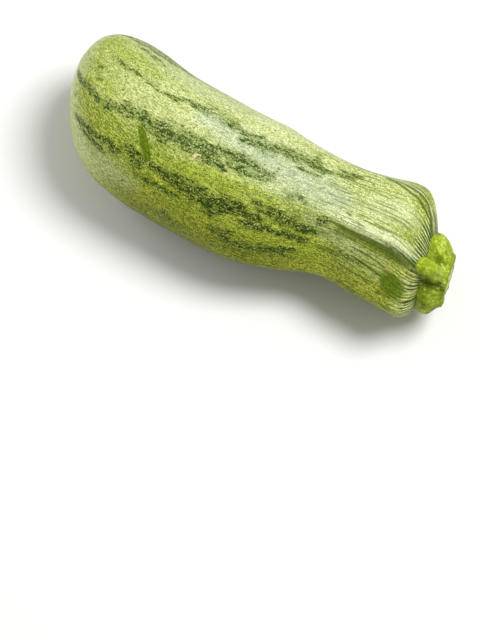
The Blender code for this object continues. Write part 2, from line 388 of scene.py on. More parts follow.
def end_shape(geometry, name, place, material):
    """Close a tree: its points at their place, which is kept under a name, smooth faces, real
    faces instead of instances, and the material."""
    recipe = geometry.recipe
    geometry = keep(geometry, name, "FLOAT_VECTOR", place)
    kept = recipe.node(
        "GeometryNodeInputNamedAttribute", {"data_type": "FLOAT_VECTOR"}, {"Name": name})
    geometry = recipe.node(
        "GeometryNodeSetPosition", sockets={"Geometry": geometry, "Position": kept})
    geometry = recipe.node("GeometryNodeSetShadeSmooth", sockets={"Geometry": geometry})
    geometry = recipe.node("GeometryNodeRealizeInstances", sockets={"Geometry": geometry})
    geometry = recipe.node(
        "GeometryNodeSetMaterial", sockets={"Geometry": geometry, "Material": material})
    recipe.node("NodeGroupOutput", sockets={"Shape": geometry})


def grow(name, recipe, sizes):
    """Evaluate a shape's tree once and keep the result as a plain mesh object."""
    seed = bpy.data.objects.new(name + "_seed", bpy.data.meshes.new(name + "_seed"))
    bpy.context.scene.collection.objects.link(seed)
    modifier = seed.modifiers.new("Shape", "NODES")
    modifier.node_group = recipe.tree
    for item in recipe.tree.interface.items_tree:
        if item.in_out == "INPUT" and item.name in sizes:
            modifier[item.identifier] = sizes[item.name]
    bpy.context.view_layer.update()
    evaluated = seed.evaluated_get(bpy.context.evaluated_depsgraph_get())
    mesh = bpy.data.meshes.new_from_object(evaluated)
    bpy.data.objects.remove(seed)
    mesh.name = name
    piece = bpy.data.objects.new(name, mesh)
    bpy.context.scene.collection.objects.link(piece)
    return piece


def ink(red, green, blue):
    """A colour mixed by its 0 to 255 screen values, for a shader."""
    shares = [value / 255.0 for value in (red, green, blue)]
    return tuple(((share + 0.055) / 1.055) ** 2.4 for share in shares) + (1.0,)


def tint(share, low, high):
    """A colour that goes from low to high as the share goes from 0 to 1."""
    return share.recipe.node(
        "ShaderNodeMix", {"data_type": "RGBA", "clamp_factor": True},
        {"Factor_Float": share, "A_Color": low, "B_Color": high})["Result_Color"]


def painted(recipe, name):
    """A value that was kept on the piece's points under that name."""
    return recipe.node("ShaderNodeAttribute", {"attribute_name": name})


def start_material(name):
    """A new material, with what was kept as the piece's place: the cosine and sine of the
    angle round it, the third number and the angle; and last the place on the surface."""
    material = bpy.data.materials.new(name)
    material.use_nodes = True
    material.node_tree.nodes.clear()
    recipe = Recipe(material.node_tree)
    parts = recipe.node(
        "ShaderNodeSeparateXYZ", sockets={"Vector": painted(recipe, "place")["Vector"]})
    angle = recipe.sum("ARCTAN2", parts["Y"], parts["X"])
    surface = recipe.node("ShaderNodeTexCoord")["Object"]
    return material, recipe, parts["X"], parts["Y"], parts["Z"], angle, surface


fruit_skin, paint, cos_angle, sin_angle, along, angle, surface = start_material("fruit_skin")


def drawn_out(share):
    """The place on the skin with the way along it cut to a share, which draws out a noise."""
    girth = FRUIT_SIZES["Belly radius"]
    return vector(paint, girth * cos_angle, girth * sin_angle, share * along)


# Noises on the skin: those in the first four lines are drawn out along the fruit
torn = noise(drawn_out(0.36), 380.0, 3.0, 0.6)
lace = noise(drawn_out(0.34), 1350.0, 3.0, 0.65)
thread = noise(drawn_out(0.42), 1700.0, 2.0, 0.6)
cloud = noise(drawn_out(0.36), 90.0, 3.0, 0.55)
grain = noise(surface, 2300.0, 2.0, 0.6)
fleck = noise(surface, 1150.0, 2.0, 0.6)
dots = paint.node("ShaderNodeTexVoronoi", sockets={"Vector": surface, "Scale": 1250.0})
dot_size = paint.node("ShaderNodeSeparateXYZ", sockets={"Vector": dots["Color"]})["X"]
dot_reach = dots["Distance"] + 0.25 * dot_size

# Pale grain over a greener ground, with a cool bloom that is partly painted light and thick
# in places as painted highlights, a painted sheen, warm flushes and painted shade on the
# underside, deepest at its edge
flush = blend(ease(0.5 * cloud + 0.5 * torn, 0.42, 0.58), 0.5, 1.15)
flush = painted(paint, "flush")["Fac"] * flush
bloom_and_painted_light = painted(paint, "bloom_and_painted_light")["Fac"]
painted_shade = painted(paint, "painted_shade")["Fac"]
painted_sheen = painted(paint, "painted_sheen")["Fac"]


def coated(plain, *inks):
    """A ground colour that turns to one ink after another where each coat lies on it."""
    colour = ink(*plain)
    for coat, its_ink in zip((bloom_and_painted_light, bloom_and_painted_light - 1.0, painted_sheen, flush, painted_shade, painted_shade - 1.0), inks):
        colour = tint(coat, colour, ink(*its_ink))
    return colour


# Each ground ink turns in turn to its bloom, to a near white where the bloom is thick as a painted
# highlight, to the painted sheen, to the warm flush, and to painted shade and deeper painted shade
pale = coated((184, 188, 70), (210, 217, 162), (240, 244, 206), (198, 209, 176),
              (166, 180, 58), (147, 155, 8), (112, 120, 0))
green = coated((128, 146, 26), (168, 181, 104), (202, 212, 150), (160, 176, 138),
               (108, 128, 16), (94, 104, 0), (66, 76, 0))
cover = ease(grain + thread + 0.5 * cloud, 1.05, 1.45)
skin_colour = tint(cover, green, pale)

# Broken dark stripes: a soft greener band with a lace of darker threads in it, both paler where
# the bloom and its painted light lie
stripes = painted(paint, "stripes")["Fac"]
halo = ease(stripes + 1.3 * (torn - 0.5) + 0.7 * (fleck - 0.5), 0.14, 0.66)
band_colour = tint(bloom_and_painted_light, ink(98, 120, 20), ink(112, 134, 54))
skin_colour = tint(0.66 * halo, skin_colour, band_colour)
dark = stripes + 1.3 * (torn - 0.5) + 2.8 * (lace - 0.5) + 1.6 * (thread - 0.5)
dark = ease(dark, 0.50, 0.78)
dark = dark * blend(ease(0.6 * lace + 0.4 * grain, 0.42, 0.53), 0.45, 1.0)
dark_colour = tint(bloom_and_painted_light, ink(24, 44, 0), ink(52, 78, 18))
skin_colour = tint(0.95 * dark, skin_colour, dark_colour)

# Fine pale dots and dark specks all over, the dots paler where the bloom and its painted light
# lie, and thin dark lines along the neck
dot_colour = tint(bloom_and_painted_light, ink(200, 208, 112), ink(228, 235, 188))
dot = 1.0 - ease(dot_reach - 0.10 * halo, 0.24, 0.44)
dot_colour = tint(0.6 * halo, dot_colour, ink(174, 187, 112))
skin_colour = tint(dot * blend(halo, 0.48, 0.66), skin_colour, dot_colour)
speck = ease(noise(surface, 1300.0, 1.0), 0.66, 0.72)
skin_colour = tint(0.7 * speck, skin_colour, ink(72, 84, 24))
fine_line = ease(noise(drawn_out(0.05), 1300.0, 2.0, 0.6), 0.51, 0.63)
fine_line = fine_line * ease(along, 0.080, 0.125)
skin_colour = tint(0.70 * fine_line, skin_colour, ink(88, 106, 20))

# The pleats have dark grooves and whitish ribs, less white in painted shade, and the ridges a
# dark line along their foot that is partly painted shade
groove = pleats(along, angle, cos_angle, sin_angle, FRUIT_SIZES["Pleat fade start"],
                FRUIT_SIZES["Pleat full at"], FRUIT_SIZES["Pleat stagger"])
rib_light = ease(along, 0.143, 0.152) * (1.0 - ease(groove, 0.2, 0.6))
rib_colour = tint(painted_shade, ink(220, 229, 176), ink(206, 214, 150))
skin_colour = tint(0.6 * rib_light, skin_colour, rib_colour)
thin = blend(ease(along, 0.144, 0.151), 6.0, 1.0)
line_strength = ease(noise(vector(paint, cos_angle, sin_angle, 8.0 * along), 9.0, 1.0), 0.30, 0.60)
line = at_most(2.0 * groove ** thin, 1.0) * blend(line_strength, 0.35, 1.0)
line = line * (1.0 - 0.4 * lobe(angle, math.radians(270.0), math.radians(55.0)))
skin_colour = tint(0.95 * line, skin_colour, ink(30, 52, 6))
crease = painted(paint, "creases")["Fac"]
crease = crease + 0.6 * (fleck - 0.5) + 0.8 * (torn - 0.5) + 1.2 * (thread - 0.5)
crease = ease(crease, 0.26, 0.66)
skin_colour = tint(0.8 * crease, skin_colour, tint(bloom_and_painted_light, ink(70, 96, 2), ink(58, 80, 16)))

# Green blotches, corky scars and the corky blossom end
blotch = painted(paint, "blotches")["Fac"]
blotch = ease(blotch + 0.5 * (fleck - 0.5) + 0.3 * (grain - 0.5), 0.34, 0.62)
skin_colour = tint(0.9 * blotch, skin_colour, tint(dot, ink(88, 112, 0), ink(116, 140, 0)))
cork = painted(paint, "cork")["Fac"]
corky = ease(cork + 0.4 * (fleck - 0.5), 0.35, 0.6)
# A brown rim round the corky places, which beside the small hook is a painted shadow
brown_rim_and_shadow = ease(cork, 0.08, 0.3) * (1.0 - corky)
skin_colour = tint(0.75 * brown_rim_and_shadow, skin_colour, ink(84, 68, 22))
cork_colour = tint(ease(grain, 0.4, 0.6), ink(178, 160, 98), ink(226, 218, 160))
skin_colour = tint(corky, skin_colour, cork_colour)

# The grain is strong: its hollows are darker and its grains lighter than the skin's colour
calm = at_most(bloom_and_painted_light + 0.4 * painted_sheen, 1.2)
contrast = blend(ease(0.6 * grain + 0.4 * thread, 0.40, 0.60),
                 blend(calm, 0.58, 0.81), blend(calm, 1.30, 1.10))
skin_colour = paint.node("ShaderNodeVectorMath", {"operation": "SCALE"},
                         {"Vector": skin_colour, "Scale": contrast})
bumps = 0.5 * grain + 0.4 * fleck - 0.9 * groove + 0.3 * corky * fleck
relief = paint.node(
    "ShaderNodeBump", sockets={"Strength": 0.35, "Distance": 0.0003, "Height": bumps})
gloss = paint.node(
    "ShaderNodeBsdfPrincipled", {"subsurface_method": "RANDOM_WALK"},
    {"Base Color": skin_colour, "Roughness": blend(cover, 0.36, 0.44) + 0.2 * corky,
     "Normal": relief["Normal"], "IOR": 1.45, "Specular IOR Level": 0.12,
     "Subsurface Weight": 0.05, "Subsurface Radius": (1.0, 1.0, 0.4),
     "Subsurface Scale": 0.0012})
paint.node("ShaderNodeOutputMaterial", sockets={"Surface": gloss})

fruit_sizes = {**FRUIT_SIZES, "Segments": SKIN_SEGMENTS, "Rings": SKIN_RINGS}
shape, size, ball, up, ball_angle = start_shape("Zucchini fruit", fruit_sizes)
ball_along = size["Fruit length"] * (0.5 + 0.5 * up)
x, y, z, girth = skin_point(size, ball_along, ball_angle)
ball = keep(ball, "place", "FLOAT_VECTOR",
            vector(shape, cosine(ball_angle), sine(ball_angle), ball_along))
ball = keep(ball, "girth", "FLOAT", girth)
end_shape(ball, "skin_at", vector(shape, x, y, z), fruit_skin)
fruit = grow("zucchini_fruit", shape, fruit_sizes)

# The frame's origin is the middle of the footprint, so the fruit moves to where its solid is
skin_corners = [Vector(corner) for corner in fruit.bound_box]
box_low, box_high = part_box("fruit")
own_low = Vector([min(corner[axis] for corner in skin_corners) for axis in range(3)])
own_high = Vector([max(corner[axis] for corner in skin_corners) for axis in range(3)])
shift = (box_low + box_high - own_low - own_high) / 2.0
shift.z = 0.0
for vert in fruit.data.vertices:
    vert.co += shift

points = len(fruit.data.vertices)
grown_at = np.zeros(points * 3)
fruit.data.attributes["place"].data.foreach_get("vector", grown_at)
grown_at = grown_at.reshape(-1, 3)
skin_girth = np.zeros(points)
fruit.data.attributes["girth"].data.foreach_get("value", skin_girth)
skin_along = grown_at[:, 2] * 1000.0
skin_angle = np.degrees(np.arctan2(grown_at[:, 1], grown_at[:, 0]))
skin_girth = skin_girth * 1000.0


def brush(stroke, strength=1.0):
    """A soft stroke on the skin, through places given as millimetres from the blossom end,
    degrees round the fruit and half the stroke's width in millimetres."""
    best = np.zeros(points)
    for (along_a, angle_a, width_a), (along_b, angle_b, width_b) in zip(stroke, stroke[1:]):
        turn = (skin_angle - angle_a + 180.0) % 360.0 - 180.0
        offset_along = skin_along - along_a
        offset_round = np.radians(turn) * skin_girth
        run_along = along_b - along_a
        run_round = math.radians(angle_b - angle_a) * skin_girth
        length = run_along ** 2 + run_round ** 2 + 1e-9
        share = np.clip((offset_along * run_along + offset_round * run_round) / length, 0.0, 1.0)
        distance = np.hypot(offset_along - share * run_along, offset_round - share * run_round)
        width = width_a + (width_b - width_a) * share
        best = np.maximum(best, np.exp(-0.7 * (distance / width) ** 2))
    return strength * best


def dab(along_at, angle_at, radius, strength=1.0):
    """A round soft spot on the skin."""
    return brush([(along_at, angle_at, radius), (along_at + 0.01, angle_at, radius)], strength)


def most(strokes):
    return np.max(np.array(strokes), axis=0)


def keep_painted(name, values):
    fruit.data.attributes.new(name, "FLOAT", "POINT").data.foreach_set("value", values)


# The stripes on the side that is mostly seen, from its far edge to its near one
stripe_strokes = [
    brush([(6, 33, 3.4), (14, 35, 4.6), (26, 35, 4.8), (36, 31, 4.2), (46, 26, 3.0)], 0.68),
    brush([(12, 43, 0.8), (19, 44.5, 1.2), (26.6, 43.5, 1.5), (33.5, 40.5, 1.4),
           (40, 32.5, 1.1)], 0.80),
    brush([(23, 52.5, 0.8), (27.7, 53, 1.1), (32, 51.5, 0.8)], 0.70),
    brush([(44, 30, 2.0), (65, 26, 3.4), (80, 27, 2.4)], 0.62),
    brush([(16, 80.5, 0.8), (19.5, 79.5, 1.1), (23.4, 79, 1.8)], 0.52),
    brush([(24.2, 80.5, 0.8), (26.6, 78.5, 1.2), (29.7, 77.5, 1.4), (33.5, 77, 1.4),
           (38, 78.5, 0.9)], 0.54),
    brush([(41, 76, 0.8), (44.5, 76, 1.2), (47, 73, 1.2), (50, 69.5, 1.1)], 0.60),
    brush([(51.5, 71, 1.2), (56.3, 70.5, 1.5)], 0.68),
    brush([(57, 71, 1.9), (62, 70, 3.1), (68, 69.5, 3.2), (72, 70, 2.2)], 0.58),
    brush([(73.5, 73.5, 1.4), (78, 72.5, 1.8), (82, 69.5, 1.5)], 0.72),
    brush([(75, 78, 1.4), (80.7, 77.5, 1.9), (84.6, 77, 2.0), (90, 73, 2.3), (97.7, 71, 2.4),
           (103, 70, 2.2), (105, 72, 1.6)], 0.74),
    brush([(103, 59.5, 1.1), (104.6, 66, 1.5), (106.5, 71, 1.2)], 0.66),
    brush([(98.5, 82, 0.9), (102.8, 80.5, 1.1), (106, 78, 0.9)], 0.66),
    brush([(108, 70, 0.9), (111.9, 68, 1.2), (116.5, 65.5, 1.1)], 0.80),
    brush([(112.5, 62.5, 0.8), (115.4, 61, 1.1), (118.6, 61, 0.9)], 0.80),
    brush([(96, 104, 0.8), (98.5, 107, 1.2), (101.5, 105, 1.1), (103.6, 109, 0.8)], 0.66),
    brush([(24.2, 115, 1.8), (26.4, 112.5, 1.8)], 0.78),
    brush([(28, 111, 1.4), (31.3, 109, 1.9), (34.6, 106, 2.2), (38.6, 104, 2.0),
           (42, 102, 1.8)], 0.78),
    brush([(31, 102.5, 0.9), (34.6, 103.5, 1.2)], 0.74),
    brush([(31, 112, 1.1), (34.2, 111, 1.1)], 0.72),
    brush([(41.5, 106, 2.0), (45.7, 104.5, 2.8), (49.4, 103, 4.0), (57.6, 101.5, 4.2),
           (65.4, 101, 3.2), (70, 98.5, 2.2)], 0.86),
    brush([(42, 108.5, 0.9), (46.3, 107, 1.2), (55, 104.5, 1.2)], 0.70),
    brush([(57, 108.5, 0.8), (61.4, 108.5, 1.2)], 0.72),
    brush([(61, 106, 1.8), (66, 105, 2.2), (70, 105.5, 1.9), (74.7, 108, 1.1)], 0.78),
    brush([(66, 97, 1.4), (73.3, 95, 1.9), (77.3, 94.5, 2.6), (83, 96, 2.4), (90, 98, 1.6)], 0.80),
    brush([(74.5, 99.5, 1.5), (77.3, 101.5, 2.0), (84.6, 102, 2.0), (88.6, 102.5, 1.2)], 0.78),
    brush([(14, 149.5, 1.1), (19, 144, 1.5), (23.7, 140.5, 1.6), (31, 138, 1.6)], 0.80),
    brush([(17.5, 150, 0.9), (22.7, 146.5, 1.2), (27, 145.5, 1.4), (31, 145.5, 0.9)], 0.72),
    brush([(32.6, 137.5, 2.0), (36.2, 137.5, 2.0)], 0.80),
    brush([(41.3, 131.5, 2.4), (43.3, 133.5, 3.0), (45.3, 136.5, 2.4)], 0.80),
    brush([(46, 132.5, 1.6), (50.6, 132.5, 1.8), (54, 132, 1.6)], 0.78),
    brush([(55.4, 132.5, 2.2), (61.5, 133, 2.4), (69.4, 132, 2.3), (72.4, 128.5, 1.5)], 0.90),
    brush([(65.8, 134.5, 2.2), (70, 136.5, 2.8), (76.7, 134.5, 3.6), (80, 133, 3.4),
           (85, 130.5, 2.4)], 0.88),
    brush([(73.7, 138.5, 1.4), (76.7, 141.5, 2.0), (79, 140, 1.5)], 0.82),
    brush([(85, 132.5, 1.5), (88.6, 133, 1.8), (91, 133, 1.4)], 0.84),
    brush([(93, 126, 1.6), (96, 127, 2.4), (100.2, 128.5, 2.4), (104, 131, 2.2),
           (108.5, 131.5, 1.5)], 1.0),
    brush([(46, 145.5, 0.9), (52, 145, 1.2), (58.9, 144.5, 1.2), (63.6, 144.5, 0.9)], 0.72),
    brush([(76.4, 127.5, 0.9), (81, 128, 1.1)], 0.70),
    brush([(89.2, 121.5, 1.4), (90.7, 126, 1.5)], 0.80),
    brush([(85.6, 141, 1.1), (89.3, 141.5, 1.5), (93.4, 139.5, 1.4), (98, 141.5, 1.2)], 0.80),
    brush([(99.4, 139, 1.4), (101.8, 142.5, 1.5), (107.3, 143, 1.2)], 0.82),
    brush([(98.6, 155, 0.9), (103, 156.5, 1.1)], 0.78),
    brush([(99.2, 163, 0.9), (103, 166, 0.9)], 0.70),
    brush([(110.4, 128.5, 1.4), (111.4, 122, 1.9), (113.3, 116.5, 1.5)], 0.62),
    brush([(108, 134, 1.2), (116, 129.5, 1.8), (123, 127, 1.4)], 0.5),
    brush([(5.6, 121.5, 1.2), (8.4, 119.5, 1.4)], 0.85),
    brush([(10.8, 118.6, 1.2), (12.6, 117.6, 1.2)], 0.85),
    brush([(14.8, 116, 1.4), (17.8, 115.5, 1.5), (20.6, 117.5, 1.2)], 0.85),
    brush([(60.5, 166.5, 1.5), (63, 169.5, 1.4)], 0.72),
    brush([(78.5, 157.5, 1.5), (81.3, 156, 1.9), (83.5, 153.5, 1.4)], 0.78),
    brush([(79.8, 159.5, 1.2), (82.6, 160.5, 1.6), (85.5, 162.5, 1.8)], 0.76),
    brush([(85, 160.5, 1.4), (90.6, 162.5, 2.0), (94, 159.5, 1.9), (102, 157, 1.4)], 0.74),
    brush([(112, 150, 0.9), (122, 146, 1.2), (132, 143, 0.9)], 0.55),
]
# The side that can't be seen has broken stripes of the same kind, in lanes at these angles
HIDDEN_LANES = (196, 214, 236, 259, 281, 304, 327, 349, 372)
LANES_END = 122.0
stray = np.random.default_rng(11)
for lane in HIDDEN_LANES:
    start = stray.uniform(8.0, 22.0)
    while start < LANES_END:
        length = stray.uniform(9.0, 30.0)
        drift = lane + stray.uniform(-4.0, 4.0)
        middle = drift + stray.uniform(-3.0, 3.0)
        width = stray.uniform(1.2, 3.0)
        end = min(start + length, LANES_END + 4.0)
        stripe_strokes.append(brush(
            [(start, drift, 0.5 * width), ((start + end) / 2.0, middle, width),
             (end, drift + stray.uniform(-3.0, 3.0), 0.5 * width)],
            stray.uniform(0.65, 0.9)))
        start = end + stray.uniform(-2.0, 9.0)
keep_painted("stripes", most(stripe_strokes))

# Dark lines at the foot of the near ridge and the far one, partly painted shade, dark lines on
# the neck, and painted shade round the stem where it meets the shoulder
keep_painted("creases", most([
    brush([(114, 116.5, 0.4), (122, 118.8, 1.0), (132, 119.6, 1.5), (142, 119.5, 2.1),
           (149, 114.5, 1.7)], 0.74),
    brush([(128, 140.5, 0.35), (134.5, 142.5, 0.45), (140, 145.5, 0.35)], 0.8),
    brush([(126.8, 132, 0.4), (134.5, 132.5, 0.5), (140.2, 135.5, 0.4)], 0.7),
    brush([(125, 107, 0.35), (134, 108.5, 0.45), (146, 107, 0.4)], 0.35),
    brush([(119.2, 103.5, 0.45), (121.8, 105.5, 0.45)], 0.95),
    brush([(140.0, 163, 0.45), (141.6, 161, 0.45)], 0.95),
    brush([(116, 47, 0.4), (126, 47.5, 0.5), (131, 49.5, 0.6), (136, 53, 0.65),
           (141, 55.2, 0.7), (145.4, 56.2, 0.7), (149, 59, 0.7), (151, 66, 0.9)], 1.2),
    brush([(126, 51, 0.35), (131.3, 54.5, 0.4), (137, 59, 0.45), (143, 61, 0.45),
           (147.4, 63, 0.5)], 0.9),
    brush([(134, 45, 0.7), (141, 46.5, 1.1), (146, 46, 0.8)], 0.55),
    np.clip((skin_along - 150.5) / 3.5, 0.0, 0.8)]))

# A slim green mark on the belly, a round one on the shoulder and small green dabs
keep_painted("blotches", most([
    brush([(41.0, 111, 0.9), (44.6, 119, 1.7), (48.4, 128, 0.9)], 1.1),
    dab(144.3, 147, 4.5), brush([(13.4, 96, 0.8), (15.2, 94, 0.8)], 0.75),
    brush([(15.4, 105, 1.1), (18.2, 102.5, 1.2)], 0.55), dab(19.5, 66.5, 0.8, 0.5),
    dab(28.7, 63.5, 0.6, 0.7), dab(31.3, 84, 0.6, 0.7), dab(91.9, 89.5, 0.7, 0.7),
    dab(9, 137.5, 1.3, 0.5), dab(134.5, 156, 0.5), dab(138.7, 145.5, 0.5),
    dab(131.2, 144.5, 0.5)]))

# A small corky hook on the belly, with a weaker stroke beside it that browns the skin as a
# painted shadow, and the corky end where the blossom sat
keep_painted("cork", most([
    brush([(63.4, 109.5, 0.3), (63.5, 107.6, 0.4), (65.0, 106.4, 0.35)], 0.9),
    brush([(62.2, 110.5, 0.5), (64.4, 109, 0.6)], 0.24),
    np.where(skin_along < 16.0, 1.3 * np.exp(-(skin_girth / 5.2) ** 4), 0.0)]))

# Warm yellow flushes at the blossom end, between the stripes and on the shoulder
keep_painted("flush", most([
    brush([(10, 70, 9.0), (20, 66, 7.0), (32, 62, 5.0)], 0.7),
    brush([(14, 112, 5.0), (22, 122, 6.0), (40, 124, 6.0)], 0.65),
    brush([(10, 92, 5.0), (22, 104, 5.0)], 0.75),
    brush([(23, 122, 2.2), (27, 120, 2.6), (33, 120, 2.4)], 0.9),
    brush([(40, 120, 5.0), (60, 119, 5.0), (90, 118, 4.0), (110, 123, 4.0)], 0.85),
    brush([(146, 50, 3.0), (145, 75, 3.5), (146, 100, 3.0)], 0.6),
    brush([(138, 30, 3.0), (148, 22, 3.5)], 0.8),
    brush([(60, 150, 6.0), (100, 152, 6.0), (135, 140, 6.0)], 0.5),
    brush([(20, 250, 9.0), (70, 250, 9.0), (120, 245, 6.0)], 0.5),
    brush([(40, 320, 9.0), (110, 320, 7.0)], 0.4)]))


def one_side(centre, half_width, edge):
    """1 near an angle, and less past so many degrees either way, over a soft edge."""
    turn = np.abs((skin_angle - centre + 180.0) % 360.0 - 180.0)
    return 1.0 / (1.0 + np.exp((turn - half_width) / edge))


def onward(start, length):
    """Rise from 0 to 1 over a length along the fruit, both in millimetres."""
    return np.clip((skin_along - start) / length, 0.0, 1.0)


# Painted shade on the underside, a painted cool sheen along the crown, and a pale bloom over
# the upper side that is partly painted light and thickest, as painted highlights, on the crests
# of the ridges
top_side = 0.74 * one_side(66.0, 52.0, 7.0)
top_side = top_side * (1.0 - 0.5 * np.exp(-(skin_along / 14.0) ** 2))
top_side = top_side * (1.0 - 0.14 * onward(90.0, 15.0)) * (1.0 - 0.7 * onward(138.0, 6.0))
under_side = one_side(205.0, 46.0, 8.0) + 0.7 * one_side(212.0, 24.0, 6.0)
under_side = under_side * onward(26.0, 20.0) * (1.0 - 0.8 * onward(88.0, 30.0))
# Painted shade: the underside, deepest at its edge, the far face past the upper ridge, the shoulder
# beside the stem and the foot of the near ridge
keep_painted("painted_shade", most([
    under_side,
    brush([(126, 36, 4.0), (136, 38, 5.0), (148, 40, 4.0)], 0.40),
    brush([(140, 132, 4.0), (149, 136, 5.0)], 0.45),
    brush([(118, 121, 1.0), (132, 123, 2.0), (142, 122.5, 2.4)], 0.5)]))
# A painted sheen: cool light along the crown of the belly and neck, and a faint one nearer the
# upper ridge
keep_painted("painted_sheen", most([
    brush([(58, 76, 3.0), (70, 79, 4.0), (84, 84, 6.0), (96, 88, 7.5), (108, 92, 7.0),
           (116, 95, 4.0)], 0.80),
    brush([(26, 52, 4.0), (60, 48, 5.0), (100, 45, 5.0), (124, 48, 4.0)], 0.25)]))
# Pale bloom that is partly painted light: paler over the upper side, with painted highlights on the
# shoulder top and along the crests of both ridges, painted light at the blossom end and low on the
# neck, and a painted reflection on the low flank by the blossom end
keep_painted("bloom_and_painted_light", most([
    top_side,
    brush([(28, 93, 6.0), (50, 87, 7.0), (75, 84, 5.0)], 0.5),
    brush([(26, 56, 5.0), (56, 52, 6.5), (84, 52, 5.0)], 0.95),
    brush([(3, 60, 6.0), (3, 110, 6.0), (4, 150, 5.0)], 1.15),
    brush([(106, 120, 3.0), (116, 128, 4.0), (126, 134, 5.0), (138, 136, 5.0)], 0.82),
    brush([(108, 100, 5.0), (120, 96, 7.0)], 0.9),
    brush([(116, 94, 6.0), (124, 90, 7.0)], 0.8),
    brush([(129, 87, 7.0), (137, 82, 6.0), (142, 80, 4.0)], 1.45),
    brush([(112, 107, 1.8), (124, 110, 2.8), (134, 110, 3.4), (142, 110, 3.0),
           (148, 107, 1.6)], 1.7),
    brush([(118, 44, 0.6), (126, 44.5, 0.7), (131, 46.5, 0.8), (136, 50, 0.8),
           (141, 52, 0.8), (145.4, 53, 0.8), (149, 55.5, 0.6)], 1.9),
    brush([(6, 150, 7.0), (18, 162, 9.0), (34, 161, 8.0), (44, 158, 4.0)], 0.8),
    brush([(50, 0, 9.0), (100, 5, 8.0)], 0.5)]))

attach(fruit, "root")
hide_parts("fruit")


# The stem is the stub that was cut off with the fruit: blunt lobes spread over the shoulder,
# with a furrow on its near side, a slightly flared rim and a pale, dished cut face.
# It follows the fruit's own curves, so that its foot sits on the shoulder all the way round.

STEM_SIZES = {
    "Stem length": 0.0078,
    "Foot radius": 0.0138,
    "Foot thickness": 0.0007,
    "Lobe thickness": 0.0014,
    "Top radius": 0.0092,
    "Furrow bulge": 0.9,
    "Lobe bulge": 1.3,
    "Tilt": 0.0015,
    "Lobe at middle": 0.0012,
    "Lobe at top": 0.0006,
    "Furrow depth": 0.0003,
    "Furrow angle": math.radians(130.0),
    "Furrow width": math.radians(11.0),
    "Rim flare": 0.0006,
    "Rim bump": 0.0003,
    "Edge rounding": 0.0011,
    "Rim wave": 0.0020,
    "Dish depth": 0.0007,
    "Seat sink": 0.0003,
    "Wrinkle height": 0.0020,
    "Strand height": 0.0002,
}
# Each lobe: its angle and width in degrees, how far its foot spreads and how full it is
LOBES = [(66.0, 9.5, 0.0030, 0.75), (110.0, 7.0, 0.0072, 1.0), (166.0, 12.0, 0.0010, 0.9),
         (235.0, 14.0, 0.0024, 0.9), (304.0, 14.0, 0.0030, 1.0), (8.0, 12.0, 0.0010, 0.6)]
STRANDS = 46
RIM_BUMPS = 16
STEM_SEGMENTS = 360
STEM_RINGS = 200
# Shares of the way over the stem, from the middle of its foot, where its parts end
FOOT_END, SIDE_END, ROUND_END = 0.12, 0.64, 0.76


def stem_point(size, height, radius, angle):
    """Place at a height over the fruit's end and a radius round the stem's axis."""
    cos_turn, sin_turn = section_axes(size, size["Fruit length"])
    side, level = centre_line(size, size["Fruit length"])
    across = radius * cosine(angle) - size["Tilt"] * height / size["Stem length"]
    x = size["Fruit length"] + height * cos_turn - across * sin_turn
    y = side + height * sin_turn + across * cos_turn
    return x, y, level + radius * sine(angle)


def mix_points(share, first, second):
    return tuple(blend(share, a, b) for a, b in zip(first, second))


stem_sizes = {**FRUIT_SIZES, **STEM_SIZES, "Segments": STEM_SEGMENTS, "Rings": STEM_RINGS}
shape, size, ball, up, angle = start_shape("Zucchini stem", stem_sizes)
polar = shape.sum("ARCCOSINE", -up) / math.pi
cos_turn, sin_turn = section_axes(size, size["Fruit length"])
furrow = lobe(angle, size["Furrow angle"], size["Furrow width"])
fullness, reach = 0.0, size["Foot radius"]
for centre, width, spread, share in LOBES:
    bump = lobe(angle, math.radians(centre), math.radians(width))
    bump = bump * (2.0 - bump)
    fullness = fullness + share * bump
    reach = reach + spread * bump
shoulder = full_radius(size, size["Fruit length"], angle)


def seat_depth(reach):
    """How far behind the fruit's end its shoulder is as wide as the reach."""
    power = size["Stem cap power"]
    share = at_most(reach / shoulder, 1.0)
    return size["Stem cap length"] * (1.0 - (1.0 - share ** power) ** (1.0 / power))


foot_share = at_most(polar / FOOT_END, 1.0)
foot_along = size["Fruit length"] - seat_depth(foot_share * reach)
foot_x, foot_y, foot_z = skin_point(size, foot_along, angle)[:3]
foot = (foot_x - size["Seat sink"] * cos_turn, foot_y - size["Seat sink"] * sin_turn, foot_z)

side_share = at_most(at_least((polar - FOOT_END) / (SIDE_END - FOOT_END), 0.0), 1.0)
round_share = at_most(at_least((polar - SIDE_END) / (ROUND_END - SIDE_END), 0.0), 1.0)
cut_share = at_least((polar - ROUND_END) / (1.0 - ROUND_END), 0.0)
low = size["Foot thickness"] + size["Lobe thickness"] * fullness - seat_depth(reach)
edge = size["Edge rounding"]
height = low + (size["Stem length"] - edge - low) * side_share
height = height + edge * sine(round_share * (math.pi / 2.0))
height = height - size["Dish depth"] * (1.0 - (1.0 - cut_share) ** 2.0)
bulge = size["Furrow bulge"] + size["Lobe bulge"] * fullness
top_radius = size["Top radius"] + size["Lobe at top"] * fullness
radius = top_radius + (reach - top_radius) * (1.0 - side_share ** bulge)
middle = 4.0 * side_share * (1.0 - side_share)
radius = radius + middle * size["Lobe at middle"] * fullness
radius = radius - bell(side_share, 0.40, 0.28) * size["Furrow depth"] * furrow
radius = radius + size["Rim flare"] * bell(side_share, 1.0, 0.16)
radius = radius - edge * (1.0 - cosine(round_share * (math.pi / 2.0)))
rind_place = vector(shape, 0.013 * cosine(angle), 0.013 * sine(angle), 0.8 * height)
strand_wander = noise(vector(shape, cosine(angle), sine(angle), 60.0 * height), 2.5, 2.0)
strand = cosine(STRANDS * angle + 9.0 * strand_wander)
